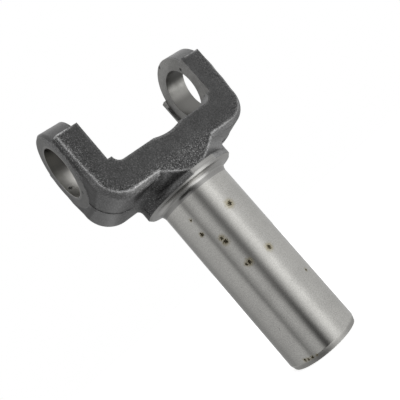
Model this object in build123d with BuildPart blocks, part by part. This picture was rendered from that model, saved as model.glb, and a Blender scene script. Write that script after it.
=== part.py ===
# Drive shaft slip yoke: one steel forging with machined seats, and the plug that closes it.
# Millimetres. Origin: centre of the cross. +X runs along the cross bore, +Z up out of the
# fork, so the yoke stands on the end of its barrel. The front land of the fork faces -Y.
import os
from math import pi, radians, tan

from build123d import *

os.makedirs("parts", exist_ok=True)

# ears and the cross bore
cap_bore = 26.98
ear_span = 90.0
ear_wall = 13.5
ear_tip_radius = 20.4
ear_rim_break = 1.0
broach_half_gap = ear_span / 2 - ear_wall
broach_stock = 2.75
broach_floor = -12.9
spot_face_depth = 1.3
spot_face_radius = 21.0

# forged fork body, sizes at the parting plane
fork_depth = 44.4
draft = 1.2
land_end = 9.1
ear_stock = 0.3
root_inset = 0.4
side_at_ear = ear_span / 2 + ear_stock
side_at_root = ear_span / 2 - root_inset
ear_root = -10.0
root_start = -17.2
fork_bottom = -33.1
corner_radius = 14.4
inner_forged = broach_half_gap - broach_stock
crotch = -16.25
crotch_corner = 3.2
land_slope_width = 2.3
land_slope_height = 3.2
flash_width = 3.6
flash_proud = 0.25

# forged hub under the fork
hub_radius = 25.9
hub_flare = 4.0
hub_end = -40.3
tongue_half_width = 16.4
tongue_root = -31.0
tongue_shoulder = 7.4
tongue_shoulder_end = -36.6
tongue_end = -38.4
tongue_corner_round = 3.0
flank_angle = 45.0

# turned rim, cove and barrel
barrel_radius = 19.05
cove_radius = 4.3
rim_face = 1.35
rim_break = 1.2
rim_radius = barrel_radius + cove_radius + rim_face + rim_break
rim_back = -38.9
rim_front = -42.4
barrel_end = -139.7
lead_length = 2.7
lead_depth = 0.95

# inside: spline, relief, plug seat and the turned pocket in the crotch
spline_teeth = 27
spline_diametral_pitch = 24.0
spline_pressure_angle = 30.0
spline_inner = 25.4 * (spline_teeth - 1) / spline_diametral_pitch / 2
spline_outer = 25.4 * (spline_teeth + 1.35) / spline_diametral_pitch / 2
spline_pitch_radius = 25.4 * spline_teeth / spline_diametral_pitch / 2
spline_set_back = 3.0
spline_start = barrel_end + spline_set_back
spline_finish = -58.0
relief_clearance = 0.5
relief_radius = spline_outer + relief_clearance
mouth_chamfer = 0.8
plug_radius = 17.0
seat_floor = -25.5
pocket_floor = -20.5
pocket_floor_radius = 19.8

# vent plug
plug_gauge = 1.6
plug_rise = 2.6
plug_rim = 3.0
plug_crown_radius = 9.5
plug_vent_radius = 0.9

# how far cutters overrun, and how far joined bodies reach into each other
overrun = 6.0
core_wall = 3.0

half_depth = fork_depth / 2
half_span = ear_span / 2

# outline of the fork on the parting plane
with BuildSketch(Plane.XZ) as plan:
    with BuildLine():
        Polyline(
            (0, crotch),
            (inner_forged, crotch),
            (inner_forged, land_end),
            (side_at_ear, land_end),
            (side_at_ear, ear_root),
            (side_at_root, root_start),
            (side_at_root, fork_bottom),
            (0, fork_bottom),
        )
        mirror(about=Plane.YZ)
    make_face()
    lower_corners = plan.vertices().group_by(Axis.Y)[0].sort_by(Axis.X)
    fillet([lower_corners[0], lower_corners[-1]], corner_radius)
    crotch_corners = plan.vertices().filter_by_position(Axis.Y, crotch - 0.1, crotch + 0.1)
    crotch_corners = crotch_corners.sort_by(Axis.X)
    fillet([crotch_corners[0], crotch_corners[-1]], crotch_corner)

# U of the fork, drafted both ways from the parting plane, its outer land edges sloped
with BuildPart() as plate:
    extrude(plan.sketch, amount=half_depth, taper=draft)
    mirror(about=Plane.XZ)
    for land in (plate.faces().sort_by(Axis.Y)[0], plate.faces().sort_by(Axis.Y)[-1]):
        outer = land.edges().filter_by(
            lambda e: abs(e.center().X) > broach_half_gap + 1 or e.center().Z < crotch - overrun
        )
        outer = outer.filter_by(lambda e: e.center().Z < land_end - 1)
        chamfer(outer, land_slope_width, land_slope_height, reference=land)

# what the trimming die leaves of the flash, a low band along the parting line
with BuildPart() as flash:
    with BuildSketch(Plane.XZ):
        add(plan.sketch)
        offset(amount=flash_proud, kind=Kind.INTERSECTION)
        with Locations((0, hub_end)):
            Rectangle(
                2 * (hub_radius + flash_proud),
                fork_bottom - hub_end,
                align=(Align.CENTER, Align.MIN),
            )
    extrude(amount=flash_width / 2)
    mirror(about=Plane.XZ)

# ear ends, turned about the cross bore
with BuildPart() as ears:
    with BuildSketch(Plane.YZ.offset(broach_half_gap)):
        Circle(ear_tip_radius)
    extrude(amount=half_span - broach_half_gap)
    chamfer(ears.edges().filter_by(GeomType.CIRCLE).sort_by(Axis.X)[-1], ear_rim_break)
    mirror(about=Plane.YZ)

# forged drum of the hub, flared into the fork, and the tongue of the land that caps it
with BuildPart() as drum:
    with BuildSketch(Plane.XZ):
        with BuildLine():
            flare_end = hub_radius + hub_flare
            overlap = fork_bottom + overrun
            d1 = Polyline((0, hub_end), (hub_radius, hub_end), (hub_radius, fork_bottom - hub_flare))
            d2 = RadiusArc(d1 @ 1, (flare_end, fork_bottom), hub_flare)
            Polyline(d2 @ 1, (flare_end, overlap), (0, overlap), d1 @ 0)
        make_face()
    revolve(axis=Axis.Z)

with BuildPart() as tongue:
    with BuildSketch(Plane.XZ.offset(half_depth)) as outline:
        with BuildLine():
            t1 = Polyline(
                (0, overlap),
                (tongue_half_width, overlap),
                (tongue_half_width, tongue_root),
                (tongue_shoulder, tongue_shoulder_end),
            )
            t2 = ThreePointArc(t1 @ 1, (0, tongue_end), (-tongue_shoulder, tongue_shoulder_end))
            Polyline(t2 @ 1, (-tongue_half_width, tongue_root), (-tongue_half_width, overlap), t1 @ 0)
        make_face()
        fillet([v for v in outline.vertices() if v.Y < tongue_root + 0.1], tongue_corner_round)
    extrude(amount=-half_depth, taper=-flank_angle)
    mirror(about=Plane.XZ)

# turned rim, cove and ground barrel, one revolved profile
with BuildPart() as turned:
    with BuildSketch(Plane.XZ) as section:
        with BuildLine():
            core = relief_radius + core_wall
            Polyline(
                (0, fork_bottom),
                (core, fork_bottom),
                (core, rim_back),
                (rim_radius, rim_back),
                (rim_radius, rim_front + rim_break),
                (rim_radius - rim_break, rim_front),
                (barrel_radius, rim_front),
                (barrel_radius, barrel_end + lead_length),
                (barrel_radius - lead_depth, barrel_end),
                (0, barrel_end),
                (0, fork_bottom),
            )
        make_face()
        cove_corner = section.vertices().sort_by_distance((barrel_radius, rim_front))[0]
        fillet(cove_corner, cove_radius)
    revolve(axis=Axis.Z)

# what the spot facing cutter takes out between the ears
with BuildPart() as spot_faces:
    with BuildSketch(Plane.YZ):
        Circle(spot_face_radius)
        with Locations((0, broach_floor)):
            Rectangle(
                2 * (spot_face_radius + overrun),
                2 * (spot_face_radius + overrun),
                align=(Align.CENTER, Align.MIN),
                mode=Mode.INTERSECT,
            )
    extrude(amount=broach_half_gap + spot_face_depth)
    mirror(about=Plane.YZ)

with BuildPart() as yoke:
    add(drum.part)
    add(tongue.part, mode=Mode.INTERSECT)
    add(plate.part)
    add(flash.part)
    add(ears.part)
    add(turned.part)

    # broached inner faces, then the sunk spot faces round the bore
    with Locations((0, 0, broach_floor)):
        Box(
            2 * broach_half_gap,
            fork_depth + overrun,
            ear_tip_radius - broach_floor + overrun,
            align=(Align.CENTER, Align.CENTER, Align.MIN),
            mode=Mode.SUBTRACT,
        )
    add(spot_faces.part, mode=Mode.SUBTRACT)

    # outer faces of the ears, milled flat to the span
    for side, seat in ((1, Align.MIN), (-1, Align.MAX)):
        with Locations((side * half_span, 0, fork_bottom)):
            Box(
                overrun,
                fork_depth + overrun,
                ear_tip_radius - fork_bottom + overrun,
                align=(seat, Align.CENTER, Align.MIN),
                mode=Mode.SUBTRACT,
            )

    # cross bore through both ears
    with Locations(Location((0, 0, 0), (0, 90, 0))):
        Cylinder(cap_bore / 2, ear_span + overrun, mode=Mode.SUBTRACT)

    # turned pocket in the crotch, plug seat, relief and the spline's inner diameter
    with BuildSketch(Plane.XZ):
        with BuildLine():
            pocket_top = crotch + overrun
            reach = pocket_top - pocket_floor
            below = barrel_end - overrun
            spline_chamfer = relief_radius - spline_inner
            Polyline(
                (0, pocket_top),
                (pocket_floor_radius + reach, pocket_top),
                (pocket_floor_radius, pocket_floor),
                (plug_radius, pocket_floor),
                (plug_radius, seat_floor),
                (relief_radius, seat_floor),
                (relief_radius, spline_finish),
                (spline_inner, spline_finish),
                (spline_inner, spline_start + spline_chamfer),
                (relief_radius, spline_start),
                (relief_radius, barrel_end + mouth_chamfer),
                (relief_radius + mouth_chamfer, barrel_end),
                (relief_radius + mouth_chamfer, below),
                (0, below),
                (0, pocket_top),
            )
        make_face()
    revolve(axis=Axis.Z, mode=Mode.SUBTRACT)

    # spline spaces, half a pitch wide at the pitch circle and narrowing outward
    half_space = 25.4 * pi / spline_diametral_pitch / 4
    flank_lean = tan(radians(spline_pressure_angle))
    bore_side = spline_inner - relief_clearance
    mouth = half_space + (spline_pitch_radius - bore_side) * flank_lean
    root = half_space - (spline_outer - spline_pitch_radius) * flank_lean
    with BuildSketch(Plane.XY.offset(barrel_end)):
        with PolarLocations(0, spline_teeth):
            Polygon(
                (bore_side, -mouth),
                (spline_outer, -root),
                (spline_outer, root),
                (bore_side, mouth),
                align=None,
            )
    extrude(amount=spline_finish + relief_clearance - barrel_end, mode=Mode.SUBTRACT)

# dished vent plug in its seat, its crown toward the cross
with BuildPart() as plug:
    with BuildSketch(Plane.XZ):
        with BuildLine():
            foot = plug_radius - plug_rim
            seat_top = seat_floor + plug_gauge
            Polyline(
                (plug_vent_radius, seat_floor + plug_rise),
                (plug_crown_radius, seat_floor + plug_rise),
                (foot, seat_floor),
                (plug_radius, seat_floor),
                (plug_radius, seat_top),
                (foot, seat_top),
                (plug_crown_radius, seat_top + plug_rise),
                (plug_vent_radius, seat_top + plug_rise),
                (plug_vent_radius, seat_floor + plug_rise),
            )
        make_face()
    revolve(axis=Axis.Z)

yoke.part.label = "yoke"
export_step(yoke.part, "parts/yoke.step")
plug.part.label = "vent_plug"
export_step(plug.part, "parts/vent_plug.step")
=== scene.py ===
# Slip yoke on its barrel end: dark blasted forging, turned cove and satin ground barrel.
# The frame is in metres; sizes on the part are named in millimetres, as in its drawing.
import math

import bpy
from mathutils import Matrix, Vector


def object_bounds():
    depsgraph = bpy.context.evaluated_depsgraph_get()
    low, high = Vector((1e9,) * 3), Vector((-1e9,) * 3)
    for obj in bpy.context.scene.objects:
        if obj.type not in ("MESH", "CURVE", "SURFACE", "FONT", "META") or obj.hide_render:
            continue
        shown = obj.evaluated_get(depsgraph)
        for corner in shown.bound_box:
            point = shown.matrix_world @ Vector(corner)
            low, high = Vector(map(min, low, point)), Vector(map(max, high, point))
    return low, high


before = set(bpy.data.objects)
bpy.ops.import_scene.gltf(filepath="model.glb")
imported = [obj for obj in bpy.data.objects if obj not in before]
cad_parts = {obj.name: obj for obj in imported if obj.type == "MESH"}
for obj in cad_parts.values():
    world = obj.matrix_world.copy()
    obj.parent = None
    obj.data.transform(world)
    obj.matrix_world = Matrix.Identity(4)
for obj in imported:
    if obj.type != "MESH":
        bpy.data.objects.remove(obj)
cad_low, cad_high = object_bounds()
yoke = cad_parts["yoke"]
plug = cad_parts["vent_plug"]
scene = bpy.context.scene

MM = 1000.0  # millimetres in the frame's metre


def grey(level, warm=0.0):
    """A grey, with a touch of yellow when warm."""
    return (level * (1.0 + 0.3 * warm), level, level * (1.0 - warm))


# camera at the photograph's viewpoint, in metres, with its lens and sensor in millimetres
LENS = 48.46
SENSOR = 36.0
EYE = Vector((-0.1131, -0.2372, -0.0769))
RIGHT = Vector((0.7123, -0.2641, -0.6502))
DOWN = Vector((-0.5565, 0.3520, -0.7526))
CLIP = (0.01, 20.0)

# light tent: brightness of the wall by compass angle about the barrel, in degrees
TENT = (
    (-180, 0.50),
    (-176, 0.50),
    (-164, 0.22),
    (-152, 0.42),
    (-140, 0.55),
    (-128, 0.50),
    (-119, 0.27),
    (-110, 0.16),
    (-102, 0.26),
    (-92, 0.62),
    (-80, 0.98),
    (-68, 1.06),
    (-56, 0.80),
    (-44, 0.68),
    (-20, 0.64),
    (0, 0.60),
    (27, 0.57),
    (64, 0.50),
    (100, 0.30),
    (123, 0.33),
    (135, 0.40),
    (171, 0.50),
)
# and its share by height, as the sine of the elevation
TENT_RISE = (
    (-1.0, 0.60),
    (-0.9, 0.75),
    (-0.7, 1.0),
    (-0.4, 1.0),
    (-0.22, 0.97),
    (0.0, 1.0),
    (0.15, 1.0),
    (0.6, 1.15),
    (1.0, 1.3),
)
# soft panels and flags: compass angle, elevation and half width in degrees, and the
# brightness that a panel adds or a flag takes
PANELS = (
    (-50, -66, 26, 1.6),
    (-142, -37, 24, -0.7),
    (-120, -50, 20, -0.2),
    (-112, -20, 16, -0.14),
    (100, -42, 32, 0.4),
    (70, 42, 45, 0.5),
    (150, 40, 60, 0.1),
)
LEAST_LIGHT = 0.03

# floor: width in metres, grey and own light
FLOOR_WIDTH = 6
FLOOR_GREY = 0.9
FLOOR_GLOW = 0.62

# where the machined surfaces of the part start and end, in millimetres; a pair is the range
# that a mask covers
BARREL_RADIUS = 19.05
BARREL_TOP = -46.7
LEAD_TOP = -137.0
RIM_BACK = -38.9
RIM_EDGE = -41.5
CLEANED_MIDDLE = 1.0
CLEANED_HALF_WIDTH = 7.0
INSIDE_RADIUS = 17.95
POCKET_RADIUS = 24.2
POCKET_TOP = -16.4
POCKET_BOTTOM = -26.0
CAP_RADIUS = 13.49
CAP_MARGIN = 0.08
INNER_FACE = 31.5
EAR_FACE = 44.97
EAR_TIP = 9.3
INNER_FLOOR = -12.9
SPOT_FACE = (31.3, 33.0)
SPOT_WALL = (31.3, 32.9)
SPOT_WALL_RADIUS = (20.8, 21.2)
BROACH_WALL = (25.3, 31.3)
BROACH_WALL_FOOT = -17.0
BROACH_WALL_TOP = -12.8
SOFT = 0.06  # how softly one surface ends where another starts

# where the forged skin changes: the slope beside the ear's face, the flash band, the flank
# under the land, and the middle of the fork, outside of which its grain is bright
EAR_SLOPE_SIDE = 41.5
EAR_SLOPE_DEPTH = 16.5
EAR_SLOPE_FOOT = -12.0
LAND_DEPTH = 20.4
FLASH_HALF_DEPTH = 4.0
FLANK_TOP = -31.5
MIDDLE_SIDE = 30.2
MIDDLE_FOOT = -18.7
RIM_GRAIN = (5.0, 13.5)
MIDDLE_CONTRAST, RIM_CONTRAST = 1.6, 3.4

# how much of a surface's normal lies along an axis where it counts as facing that way
LAND_FACING = 0.97
FLAT_FACING = 0.9

# radii of the soft edges that the shader rounds: on the sides, the lands, the flash band and
# where a tool has cut
SIDE_EDGE = 2.2
LAND_EDGE = 1.8
FLASH_EDGE = 0.5
CUT_EDGE = 0.3
EDGE_SAMPLES = 6
# how alike the softened and the true normal are where an edge starts, and where it is full
EDGE_LIKENESS = (0.995, 0.94)

# noises: waves in a millimetre, detail and roughness
MOTTLE = (0.17, 3.0, 0.6)
GRAIN = (2.0, 2.0, 0.55)
FINE = (1.7, 1.0, 0.5)
RINGS = (1.0, 2.0, 0.7)
GROOVES = (1.0, 3.0, 0.7)
CLOUD = (0.09, 2.0, 0.5)
CLOTH = (1.7, 2.0, 0.6)
TARNISH = (0.8, 2.0, 0.5)
RAGGED = (1.5, 3.0, 0.7)
ROLLED = (0.5, 3.0, 0.6)
SPOTS = (1.3, 2.0, 0.6)
NOISE_RANGE = (0.3, 0.7)  # where most of a noise lies
# tool marks: waves in a millimetre of rings on the ear faces and in the cap bores, of turned
# grooves and of ground lines, and of those along the lines' own way
FACE_RINGS = 2.6
BORE_RINGS = 3.0
TURNING = 2.4
GRINDING = 2.8
GRINDING_DRIFT = 0.05

# colours of the surfaces
LAND = grey(0.106)
SLOPE = grey(0.135)
SPECK = grey(0.46)
WORN_AND_HIGHLIGHT = grey(0.92)
FACE_RIM_SHADE = grey(0.05)
EAR_FACE_STEEL = grey(0.225, 0.02)
SPOT_FACE_STEEL = grey(0.255, 0.03)
MISSED_STRIP = grey(0.14)
MISSED_SPECK = grey(0.34)
CUT_CORNER_WEAR_AND_HIGHLIGHT = grey(0.6)
LEFT_TIP_SHADED, RIGHT_TIP_LIT = grey(0.14), grey(0.2)
BROACHED = grey(0.30)
# painted light: the step wall's grey lifts the shade in the step
SPOT_WALL_PAINTED_LIGHT = grey(0.80, 0.02)
HONED = grey(0.33, 0.05)
TURNED = grey(0.40, 0.03)
GROUND = grey(0.60, 0.045)
OILED = grey(0.16, 0.06)
NICK = grey(0.035)
STAIN = (0.38, 0.33, 0.19)
PIT = (0.10, 0.085, 0.055)
PIT_CORE = (0.02, 0.017, 0.012)
PLUG = grey(0.42, 0.04)
PLUG_SPOT = grey(0.2, 0.2)
WHITE = grey(1.0)

# casting and rust pits in the ground barrel: compass angle, height, radius and stain radius,
# and how far their outlines wander
RAGGEDNESS = 3.4
PITS = (
    (-86.8, -61.2, 0.75, 2.1),
    (-146.8, -63.8, 0.70, 1.1),
    (-126.3, -73.3, 0.75, 1.6),
    (-127.4, -71.0, 0.55, 1.5),
    (-119.7, -87.1, 0.75, 1.7),
    (-125.0, -87.0, 0.45, 1.0),
    (-85.0, -87.9, 0.60, 1.9),
    (-59.0, -107.0, 0.36, 0.8),
    (-145.3, -55.5, 0.22, 0.7),
    (-151.8, -136.2, 0.45, 0.9),
    (-146.5, -136.6, 0.40, 0.8),
    (-140.5, -136.9, 0.35, 0.7),
    (-133.0, -137.3, 0.30, 0.7),
    (34.0, -68.0, 0.60, 1.7),
    (71.0, -112.5, 0.70, 1.8),
    (122.0, -79.0, 0.50, 1.4),
    (149.0, -97.5, 0.65, 1.6),
    (8.0, -124.0, 0.45, 1.2),
)

# dark nicks by the cross bore: place and radius
NICKS = (
    (32.8, -13.7, -12.2, 1.1),
    (32.8, -13.7, 7.3, 0.8),
    (32.6, 0.4, 19.9, 0.9),
    (-42.8, 12.8, -4.4, 0.9),
    (-44.9, -6.2, -14.6, 0.7),
)


def add_camera():
    data = bpy.data.cameras.new("camera")
    data.sensor_width = SENSOR
    data.lens = LENS
    data.clip_start, data.clip_end = CLIP
    camera = bpy.data.objects.new("camera", data)
    scene.collection.objects.link(camera)
    right = RIGHT.normalized()
    up = (-DOWN - right * (-DOWN).dot(right)).normalized()
    back = right.cross(up)
    turn = Matrix((right, up, back)).transposed().to_4x4()
    camera.matrix_world = Matrix.Translation(EYE) @ turn
    scene.camera = camera


class Graph:
    """Adds nodes to one shader tree. Each call takes sockets or plain values."""

    def __init__(self, tree):
        self.tree = tree

    def node(self, kind, **settings):
        made = self.tree.nodes.new(kind)
        for name, value in settings.items():
            setattr(made, name, value)
        return made

    def feed(self, socket, value):
        if isinstance(value, bpy.types.NodeSocket):
            self.tree.links.new(value, socket)
        elif socket.type == "RGBA":
            socket.default_value = (*value, 1.0)
        else:
            socket.default_value = value

    def math(self, operation, first, second=0.0):
        made = self.node("ShaderNodeMath", operation=operation)
        self.feed(made.inputs[0], first)
        self.feed(made.inputs[1], second)
        return made.outputs[0]

    def product(self, first, *others):
        for other in others:
            first = self.math("MULTIPLY", first, other)
        return first

    def total(self, first, *others):
        for other in others:
            first = self.math("ADD", first, other)
        return first

    def either(self, first, *others):
        for other in others:
            first = self.math("MAXIMUM", first, other)
        return first

    def without(self, mask, cut):
        return self.math("MULTIPLY", mask, self.math("SUBTRACT", 1.0, cut))

    def absolute(self, value):
        return self.math("ABSOLUTE", value)

    def length(self, first, second):
        squares = self.total(self.product(first, first), self.product(second, second))
        return self.math("SQRT", squares)

    def fade(self, value, start, end, low=0.0, high=1.0):
        made = self.node("ShaderNodeMapRange", interpolation_type="SMOOTHSTEP")
        for name, entry in zip(
            ("Value", "From Min", "From Max", "To Min", "To Max"), (value, start, end, low, high)
        ):
            self.feed(made.inputs[name], entry)
        return made.outputs["Result"]

    def above(self, value, edge, soft=SOFT):
        return self.fade(value, edge - soft, edge + soft)

    def below(self, value, edge, soft=SOFT):
        return self.fade(value, edge - soft, edge + soft, 1.0, 0.0)

    def between(self, value, edges):
        return self.product(self.above(value, edges[0]), self.below(value, edges[1]))

    def vary(self, noise, low, high):
        """A level that follows a noise."""
        return self.fade(noise, *NOISE_RANGE, low, high)

    def swing(self, noise, strength):
        """A noise about zero."""
        return self.product(self.total(noise, -0.5), strength)

    def mix(self, share, first, second):
        made = self.node("ShaderNodeMix", data_type="FLOAT")
        for place, value in ((0, share), (2, first), (3, second)):
            self.feed(made.inputs[place], value)
        return made.outputs[0]

    def blend(self, share, first, second):
        made = self.node("ShaderNodeMix", data_type="RGBA")
        for place, value in ((0, share), (6, first), (7, second)):
            self.feed(made.inputs[place], value)
        return made.outputs[2]

    def shade(self, colour, *factors):
        """A colour or a place, times each factor."""
        for factor in factors:
            made = self.node("ShaderNodeVectorMath", operation="SCALE")
            self.feed(made.inputs[0], colour)
            self.feed(made.inputs["Scale"], factor)
            colour = made.outputs[0]
        return colour

    def compare(self, operation, first, second):
        """The dot product of two vectors, or the distance between them."""
        made = self.node("ShaderNodeVectorMath", operation=operation)
        self.feed(made.inputs[0], first)
        self.feed(made.inputs[1], second)
        return made.outputs["Value"]

    def noise(self, place, kind):
        made = self.node("ShaderNodeTexNoise")
        for name, value in zip(("Vector", "Scale", "Detail", "Roughness"), (place, *kind)):
            self.feed(made.inputs[name], value)
        return made.outputs[0]

    def split(self, vector):
        made = self.node("ShaderNodeSeparateXYZ")
        self.feed(made.inputs[0], vector)
        return made.outputs

    def join(self, x, y, z):
        made = self.node("ShaderNodeCombineXYZ")
        for socket, value in zip(made.inputs, (x, y, z)):
            self.feed(socket, value)
        return made.outputs[0]

    def curve(self, value, points):
        """A value read off straight lines between points, each a place from 0 to 1 and a grey."""
        made = self.node("ShaderNodeValToRGB")
        self.feed(made.inputs[0], value)
        stops = made.color_ramp.elements
        first, last = stops[0], stops[1]
        first.position, last.position = points[0][0], 1.0
        first.color, last.color = (*grey(points[0][1]), 1.0), (*grey(points[-1][1]), 1.0)
        for position, level in points[1:]:
            if position < 1.0:
                stops.new(position).color = (*grey(level), 1.0)
        return made.outputs[0]


def add_world():
    world = bpy.data.worlds.new("light_tent")
    world.use_nodes = True
    tree = world.node_tree
    g = Graph(tree)
    background = tree.nodes["Background"]
    direction = g.node("ShaderNodeTexCoord").outputs["Generated"]
    east, north, up = g.split(direction)
    turn = g.math("ARCTAN2", north, east)
    turn = g.total(g.math("DIVIDE", turn, 2.0 * math.pi), 0.5)
    wall = g.curve(turn, [(angle / 360.0 + 0.5, level) for angle, level in TENT])
    rise = g.total(g.product(up, 0.5), 0.5)
    steepest = max(level for _, level in TENT_RISE)
    rise = g.curve(rise, [(sine / 2.0 + 0.5, level / steepest) for sine, level in TENT_RISE])
    light = g.product(wall, rise, steepest)
    for angle, elevation, width, level in PANELS:
        angle, elevation = math.radians(angle), math.radians(elevation)
        flat = math.cos(elevation)
        toward = (flat * math.cos(angle), flat * math.sin(angle), math.sin(elevation))
        nearness = g.compare("DOT_PRODUCT", direction, toward)
        spread = g.fade(nearness, math.cos(math.radians(width)), 1.0, 0.0, level)
        light = g.total(light, spread)
    light = g.either(light, LEAST_LIGHT)
    g.feed(background.inputs["Color"], WHITE)
    g.feed(background.inputs["Strength"], light)
    # the camera itself sees plain white
    backdrop = g.node("ShaderNodeBackground")
    g.feed(backdrop.inputs["Color"], WHITE)
    choose = g.node("ShaderNodeMixShader")
    g.feed(choose.inputs[0], g.node("ShaderNodeLightPath").outputs["Is Camera Ray"])
    g.feed(choose.inputs[1], background.outputs[0])
    g.feed(choose.inputs[2], backdrop.outputs[0])
    g.feed(tree.nodes["World Output"].inputs["Surface"], choose.outputs[0])
    scene.world = world


def new_material(name, graph=Graph):
    """A material with its graph and its surface shader."""
    material = bpy.data.materials.new(name)
    material.use_nodes = True
    return material, graph(material.node_tree), material.node_tree.nodes["Principled BSDF"]


def add_floor():
    bpy.ops.mesh.primitive_plane_add(size=FLOOR_WIDTH, location=(0, 0, cad_low.z))
    floor = bpy.context.object
    floor.name = "floor"
    material, g, shader = new_material("floor_paper")
    g.feed(shader.inputs["Base Color"], grey(FLOOR_GREY))
    g.feed(shader.inputs["Roughness"], 1.0)
    g.feed(shader.inputs["Specular IOR Level"], 0.0)
    g.feed(shader.inputs["Emission Color"], WHITE)
    g.feed(shader.inputs["Emission Strength"], FLOOR_GLOW)
    floor.data.materials.append(material)
    floor.visible_diffuse = False
    floor.visible_glossy = False


class YokeGraph(Graph):
    """The yoke's tree: the place on the part, shared noises and a mask for each region."""

    def __init__(self, tree):
        super().__init__(tree)
        coordinates = self.node("ShaderNodeTexCoord")
        self.place = self.shade(coordinates.outputs["Object"], MM)
        self.x, self.y, self.z = self.split(self.place)
        self.side, self.depth = self.absolute(self.x), self.absolute(self.y)
        self.out = self.length(self.x, self.y)
        self.from_cross = self.length(self.y, self.z)
        normal_x, normal_y, _ = self.split(coordinates.outputs["Normal"])
        self.across, self.forward = self.absolute(normal_x), self.absolute(normal_y)
        self.mottle = self.noise(self.place, MOTTLE)
        self.grain = self.noise(self.place, GRAIN)
        self.fine = self.noise(self.place, FINE)
        self.mark_machined()
        self.mark_forged()
        self.mark_edges()

    def mark_machined(self):
        """Where each process left its surface."""
        flat = self.above(self.across, FLAT_FACING, 0.02)
        self.land = self.above(self.forward, LAND_FACING, 0.01)
        # the rim's tool has also cleaned a strip of the hub above it
        off_strip = self.absolute(self.total(self.x, -CLEANED_MIDDLE))
        cleaned = self.product(
            self.below(self.z, RIM_BACK), self.below(off_strip, CLEANED_HALF_WIDTH, 0.8)
        )
        outside = self.above(self.out, INSIDE_RADIUS)
        self.turned = self.product(self.either(cleaned, self.below(self.z, RIM_EDGE)), outside)
        self.ground = self.product(self.below(self.z, BARREL_TOP), outside)
        under_crotch = self.below(self.z, POCKET_TOP)
        self.inside = self.product(self.below(self.out, INSIDE_RADIUS), under_crotch)
        pocket = self.product(self.below(self.out, POCKET_RADIUS), under_crotch)
        pocket = self.product(pocket, self.above(self.z, POCKET_BOTTOM))
        self.pocket = self.without(pocket, self.land)
        self.cap_bore = self.product(
            self.below(self.from_cross, CAP_RADIUS + CAP_MARGIN), self.above(self.side, INNER_FACE)
        )
        self.ear_face = self.product(self.above(self.side, EAR_FACE, 0.02), flat)
        off_flat = self.below(self.across, FLAT_FACING, 0.02)
        self.ear_tip = self.product(self.above(self.z, EAR_TIP), off_flat)
        over_floor = self.above(self.z, INNER_FLOOR)
        self.inner_face = self.product(self.between(self.side, SPOT_FACE), flat, over_floor)
        spot_wall = self.product(
            self.between(self.side, SPOT_WALL), self.between(self.from_cross, SPOT_WALL_RADIUS)
        )
        self.spot_wall = self.without(spot_wall, self.either(flat, self.land))
        broach_wall = self.product(
            self.above(self.side, BROACH_WALL[0], 0.5),
            self.below(self.side, BROACH_WALL[1]),
            self.above(self.z, BROACH_WALL_FOOT),
            self.below(self.z, BROACH_WALL_TOP),
        )
        self.broach_wall = self.without(broach_wall, self.land)
        self.milled = self.either(self.ear_face, self.inner_face)

    def mark_forged(self):
        """Where the forged skin is coarse, and where its grain is bright."""
        self.by_land = self.above(self.depth, LAND_DEPTH, 0.5)
        ear_slope = self.product(
            self.above(self.side, EAR_SLOPE_SIDE, 0.5),
            self.above(self.depth, EAR_SLOPE_DEPTH, 1.5),
            self.above(self.z, EAR_SLOPE_FOOT, 5.0),
        )
        self.coarse = self.either(self.land, ear_slope)
        past_side = self.either(self.total(self.side, -MIDDLE_SIDE), 0.0)
        past_foot = self.either(self.math("SUBTRACT", MIDDLE_FOOT, self.z), 0.0)
        self.near_rim = self.fade(self.length(past_side, past_foot), *RIM_GRAIN)

    def mark_edges(self):
        """Edges softened in the shading, and how strongly a place lies on one."""
        machined = self.either(self.turned, self.inside, self.cap_bore, self.milled)
        on_flash = self.below(self.depth, FLASH_HALF_DEPTH, 1.0)
        forged = self.mix(self.by_land, SIDE_EDGE / MM, LAND_EDGE / MM)
        forged = self.mix(on_flash, forged, FLASH_EDGE / MM)
        bevel = self.node("ShaderNodeBevel", samples=EDGE_SAMPLES)
        self.feed(bevel.inputs["Radius"], self.mix(machined, forged, CUT_EDGE / MM))
        self.soft_normal = bevel.outputs[0]
        true_normal = self.node("ShaderNodeNewGeometry").outputs["Normal"]
        likeness = self.compare("DOT_PRODUCT", self.soft_normal, true_normal)
        self.edge = self.fade(likeness, *EDGE_LIKENESS)


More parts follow.
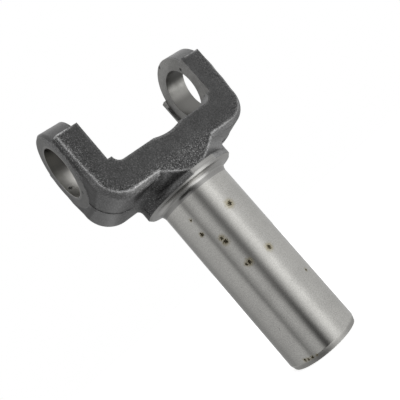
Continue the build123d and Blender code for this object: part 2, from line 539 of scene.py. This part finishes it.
def forged_skin(g, level):
    """Blasted skin: dark lands and lighter sides, partly the lands' own coarse skin and partly
    painted light and shade by the way each face points; bright specks; and edges worn bare under a
    painted highlight.
    """
    # the sides, lighter toward the flash band and the hub, with painted light on the drum below
    # the fork and painted shade darkening the flank under the land
    sides = g.product(g.fade(g.z, -31.0, -17.0, 0.275, 0.215), g.fade(g.x, 0.0, 30.0, 1.0, 0.85))
    # painted light: the drum below the fork is lightened where it lies in shade
    sides = g.product(sides, g.fade(g.z, -36.0, -32.0, 1.4, 1.0))
    sides = g.product(sides, g.fade(g.y, -2.6, -1.2, 1.0, 1.25))
    flank = g.product(g.below(g.z, FLANK_TOP, 1.5), g.below(g.x, 4.0, 7.0))
    # painted shade: the flank under the land is darkened, most toward its middle
    sides = g.mix(flank, sides, g.fade(g.depth, 15.0, 20.0, 0.09, 0.19))
    sides = g.join(sides, sides, sides)
    # painted light and shade: the sides' greys stand above the lands' and slopes' partly for the
    # way each faces the light
    skin = g.blend(g.coarse, sides, g.blend(g.land, SLOPE, LAND))
    skin = g.shade(skin, g.product(level, g.fade(g.x, -40.0, -22.0, 0.86, 1.0)))

    specks = g.product(g.above(g.fine, 0.58, 0.04), g.above(g.grain, 0.49, 0.06))
    specks = g.product(specks, g.mix(g.near_rim, 0.22, 1.0), g.mix(g.coarse, 0.5, 0.8))
    specks = g.product(specks, g.fade(g.x, 5.0, 28.0, 1.0, 0.4))
    skin = g.blend(specks, skin, SPECK)

    # wear and painted highlight: edges worn bare and painted near white as a highlight
    wear_and_highlight = g.product(g.edge, g.fade(g.grain, 0.38, 0.56, 0.4, 1.0))
    wear_and_highlight = g.product(wear_and_highlight, g.fade(g.mottle, 0.35, 0.6, 0.7, 1.0))
    outer_edge = g.either(g.above(g.side, 34.0, 1.0), g.below(g.z, -24.0, 1.0))
    wear_and_highlight = g.product(wear_and_highlight, g.mix(g.by_land, 0.12, 1.0), g.mix(outer_edge, 0.3, 1.0))
    wear_and_highlight = g.product(wear_and_highlight, g.above(g.z, -38.0, 0.5), g.fade(g.x, 5.0, 25.0, 1.0, 0.6))
    skin = g.blend(wear_and_highlight, skin, WORN_AND_HIGHLIGHT)

    # painted shade: a dark line along the ear's edge between the face and the slope
    beside_face_shade = g.product(g.above(g.side, 43.9, 0.15), g.below(g.side, 44.7, 0.15))
    return g.blend(g.product(beside_face_shade, 0.55), skin, FACE_RIM_SHADE)


def milled_faces(g, ring, cast_strip):
    """Milled ear faces with rings about the cross bore and a strip that the cutter missed."""
    colour = g.blend(g.inner_face, EAR_FACE_STEEL, SPOT_FACE_STEEL)
    colour = g.shade(
        colour,
        g.vary(ring, 0.85, 1.15),
        g.mix(g.inner_face, 1.0, g.fade(g.z, 9.0, 18.0, 1.0, 1.3)),
        g.vary(g.mottle, 0.9, 1.1),
        g.fade(g.product(g.ear_face, g.from_cross), 14.3, 15.0, 1.25, 0.88),
        g.vary(g.fine, 0.88, 1.12),
    )
    strip = g.shade(MISSED_STRIP, g.total(1.0, g.swing(g.grain, RIM_CONTRAST)))
    strip = g.blend(g.above(g.fine, 0.62, 0.04), strip, MISSED_SPECK)
    colour = g.blend(cast_strip, colour, strip)
    # wear and painted highlight: the cut edges are made lighter
    return g.blend(g.product(g.edge, 0.7), colour, CUT_CORNER_WEAR_AND_HIGHLIGHT)


def cap_bores(g, ring):
    """Honed bores with painted light and shade: the left one lighter low down and darker higher
    up, the right one lit at mid height and darker at its foot.
    """
    # painted light and shade inside the bores, by height and by side
    height = g.total(g.z, g.product(g.mottle, 5.0), g.fade(g.x, -1.0, 1.0, 0.0, -6.5))
    return g.shade(
        HONED,
        g.vary(ring, 0.88, 1.12),
        g.fade(height, 0.0, 9.0, 2.0, 0.42),
        g.mix(g.above(g.x, 0.0, 1.0), 1.0, g.fade(g.z, 1.0, 8.5, 0.28, 0.72)),
    )


def turned_rim(g, groove):
    """Turned rim and cove, darker on the left of the rim."""
    return g.shade(
        TURNED,
        g.vary(groove, 0.85, 1.15),
        g.mix(g.above(g.z, -43.0, 0.5), 1.0, g.fade(g.x, -12.0, -2.0, 0.82, 1.05)),
    )


def ground_barrel(g, lines, pit, stain):
    """Ground barrel with cloudy tarnish, and pits that each lie in a brown stain."""
    colour = g.shade(
        GROUND,
        g.vary(lines, 0.97, 1.03),
        g.vary(g.noise(g.place, CLOUD), 0.96, 1.04),
        g.vary(g.noise(g.place, CLOTH), 0.91, 1.08),
        g.fade(g.noise(g.place, TARNISH), 0.70, 0.76, 1.0, 0.78),
        g.fade(g.z, -138.2, -136.6, 0.7, 1.0),
    )
    colour = g.blend(g.product(stain, 0.75), colour, STAIN)
    core = g.above(g.fine, 0.5, 0.1)
    return g.blend(pit, colour, g.blend(core, PIT_CORE, PIT))


def barrel_pits(g, ragged):
    """Masks of the pits and of their stains, only on the ground barrel."""
    pit, stain = 0.0, 0.0
    for angle, height, size, spread in PITS:
        turn = math.radians(angle)
        centre = (BARREL_RADIUS * math.cos(turn), BARREL_RADIUS * math.sin(turn), height)
        reach = g.total(g.compare("DISTANCE", g.place, centre), ragged)
        pit = g.either(g.fade(reach, size * 0.85, size * 1.5, 1.0, 0.0), pit)
        stain = g.either(g.fade(reach, size, spread * 1.7, 1.0, 0.0), stain)
    return g.product(pit, g.ground), g.product(stain, g.ground)


def bore_nicks(g, ragged):
    """Mask of the nicks by the cross bore."""
    nick = 0.0
    for *centre, size in NICKS:
        reach = g.total(g.compare("DISTANCE", g.place, centre), g.product(ragged, 0.7))
        nick = g.either(g.fade(reach, size * 0.8, size * 1.4, 1.0, 0.0), nick)
    return nick


def yoke_steel():
    """The forged skin, and over it a layer for each surface that a tool has cut."""
    material, g, shader = new_material("yoke_steel", YokeGraph)
    # tool marks: rings on the faces and in the bores, grooves of turning, lines of grinding
    ring = g.noise(g.join(g.product(g.from_cross, FACE_RINGS), 0.0, 0.0), RINGS)
    bore_ring = g.noise(g.join(g.product(g.x, BORE_RINGS), 0.0, 0.0), RINGS)
    turning = g.join(0.0, g.product(g.out, TURNING), g.product(g.z, TURNING))
    groove = g.noise(turning, GROOVES)
    drift = (g.product(g.x, GRINDING_DRIFT), g.product(g.y, GRINDING_DRIFT))
    lines = g.noise(g.join(*drift, g.product(g.z, GRINDING)), GROOVES)

    ragged = g.swing(g.noise(g.place, RAGGED), RAGGEDNESS)
    pit, stain = barrel_pits(g, ragged)
    nick = bore_nicks(g, ragged)

    contrast = g.mix(g.near_rim, MIDDLE_CONTRAST, RIM_CONTRAST)
    level = g.total(1.0, g.swing(g.grain, contrast), g.vary(g.mottle, -0.1, 0.1))
    level = g.mix(g.coarse, g.total(g.product(level, 0.5), 0.5), level)

    cast_strip = g.product(g.ear_face, g.above(g.from_cross, 16.2, 0.6))
    cast_strip = g.product(cast_strip, g.above(g.depth, 9.0, 3.0), g.above(g.z, -11.0, 3.0))
    strip_relief = g.product(cast_strip, g.grain, 0.12)

    # painted light: the right ear's tip is given a lighter grey than the left's
    tip_colour = g.blend(g.above(g.x, 0.0), LEFT_TIP_SHADED, RIGHT_TIP_LIT)
    tip_colour = g.shade(tip_colour, g.vary(g.grain, 0.8, 1.2))
    rim_colour = turned_rim(g, groove)
    rim_rough = g.fade(g.z, -44.0, -42.5, 0.25, 0.33)
    barrel_rough = g.fade(g.z, LEAD_TOP - 0.2, LEAD_TOP + 0.2, 0.48, 0.17)
    oiled = g.shade(OILED, g.vary(g.grain, 0.8, 1.2))

    # each layer's mask, colour, roughness and relief in millimetres, over the forged skin
    layers = (
        (g.ear_tip, tip_colour, 0.42, g.product(g.grain, 0.03)),
        (g.broach_wall, g.shade(BROACHED, level), 0.45, g.product(g.grain, 0.08)),
        # painted light: the spot face's step wall is made near white to lift its shade
        (g.spot_wall, SPOT_WALL_PAINTED_LIGHT, 0.65, g.product(g.grain, 0.03)),
        (
            g.milled,
            milled_faces(g, ring, cast_strip),
            0.40,
            g.total(g.product(ring, 0.012), strip_relief),
        ),
        (g.pocket, rim_colour, 0.36, g.product(groove, 0.02)),
        (g.cap_bore, cap_bores(g, bore_ring), 0.30, g.product(bore_ring, 0.008)),
        (g.inside, oiled, 0.32, g.product(groove, 0.01)),
        (g.turned, rim_colour, rim_rough, g.product(groove, 0.010)),
        (g.ground, ground_barrel(g, lines, pit, stain), barrel_rough, g.product(lines, 0.0018)),
    )
    colour, metal = forged_skin(g, level), 0.85
    rough = g.total(g.vary(g.grain, 0.40, 0.50), g.product(g.land, 0.12))
    relief = g.total(g.product(g.grain, g.mix(g.near_rim, 0.07, 0.14)), g.product(g.fine, 0.04))
    relief = g.total(g.product(relief, g.mix(g.coarse, 0.4, 1.0)), g.product(g.mottle, 0.4))
    for mask, layer_colour, layer_rough, layer_relief in layers:
        colour = g.blend(mask, colour, layer_colour)
        rough = g.mix(mask, rough, layer_rough)
        metal = g.mix(mask, metal, 1.0)
        relief = g.mix(mask, relief, layer_relief)
    colour = g.blend(g.product(nick, 0.85), colour, NICK)
    rough = g.mix(g.product(stain, 0.5), rough, 0.5)
    relief = g.total(relief, g.product(g.either(pit, nick), -0.35))

    bump = g.node("ShaderNodeBump")
    g.feed(bump.inputs["Strength"], 1.0)
    g.feed(bump.inputs["Distance"], 1.0 / MM)
    g.feed(bump.inputs["Height"], relief)
    g.feed(bump.inputs["Normal"], g.soft_normal)
    g.feed(shader.inputs["Base Color"], colour)
    g.feed(shader.inputs["Roughness"], rough)
    g.feed(shader.inputs["Metallic"], metal)
    g.feed(shader.inputs["Normal"], bump.outputs[0])
    return material


def plug_steel():
    material, g, shader = new_material("plug_steel")
    place = g.shade(g.node("ShaderNodeTexCoord").outputs["Object"], MM)
    rolled = g.noise(place, ROLLED)
    spots = g.noise(place, SPOTS)
    colour = g.shade(PLUG, g.vary(rolled, 0.8, 1.1))
    colour = g.blend(g.above(spots, 0.68, 0.04), colour, PLUG_SPOT)
    g.feed(shader.inputs["Base Color"], colour)
    g.feed(shader.inputs["Roughness"], g.vary(rolled, 0.28, 0.42))
    g.feed(shader.inputs["Metallic"], 1.0)
    bump = g.node("ShaderNodeBump")
    g.feed(bump.inputs["Distance"], 0.05 / MM)
    g.feed(bump.inputs["Height"], spots)
    g.feed(shader.inputs["Normal"], bump.outputs[0])
    return material


add_camera()
add_world()
add_floor()
for piece, material in ((yoke, yoke_steel()), (plug, plug_steel())):
    piece.data.materials.clear()
    piece.data.materials.append(material)

scene.view_settings.view_transform = "Standard"
